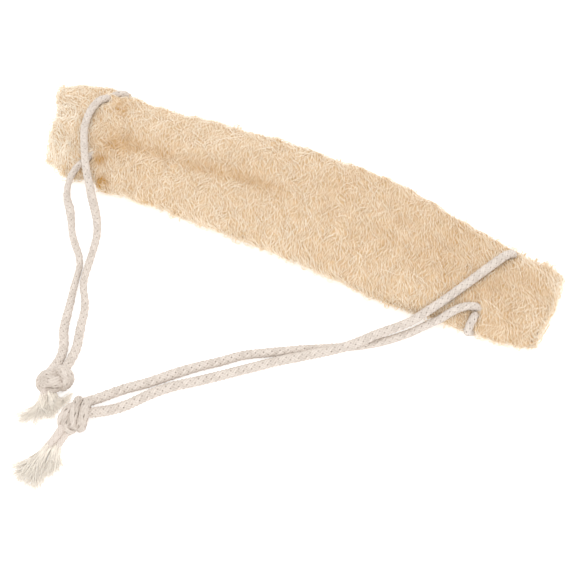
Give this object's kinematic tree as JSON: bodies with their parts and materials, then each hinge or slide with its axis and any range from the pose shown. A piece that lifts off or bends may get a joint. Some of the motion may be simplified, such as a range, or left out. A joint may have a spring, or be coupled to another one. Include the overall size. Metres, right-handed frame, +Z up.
{
  "type": "loofah back scrubber with rope handles",
  "caption": "Long flattened natural loofah sponge with a knotted, frayed cotton rope handle threaded through each end, for scrubbing the back.",
  "frame": {"origin": "on the table under the middle of the sponge's own box, the rope handles left out", "axes": "+X along the sponge towards its squarer end, +Y away from the rope handles, +Z up from the table"},
  "size_m": [0.4878, 0.3699, 0.0323],
  "materials": {
    "loofah_fibre": "dry matt plant fibre net, straw coloured",
    "cotton_rope": "matt off-white braided cotton",
    "cotton_fray": "loose soft cotton threads, cream"
  },
  "bodies": {
    "root": {"loofah_sponge": "loofah_fibre", "left_rope": "cotton_rope", "left_knot": "cotton_rope", "left_frayed_end_1": "cotton_fray", "left_frayed_end_2": "cotton_fray", "right_rope": "cotton_rope", "right_knot": "cotton_rope", "right_frayed_end_1": "cotton_fray", "right_frayed_end_2": "cotton_fray"}
  },
  "joints": []
}
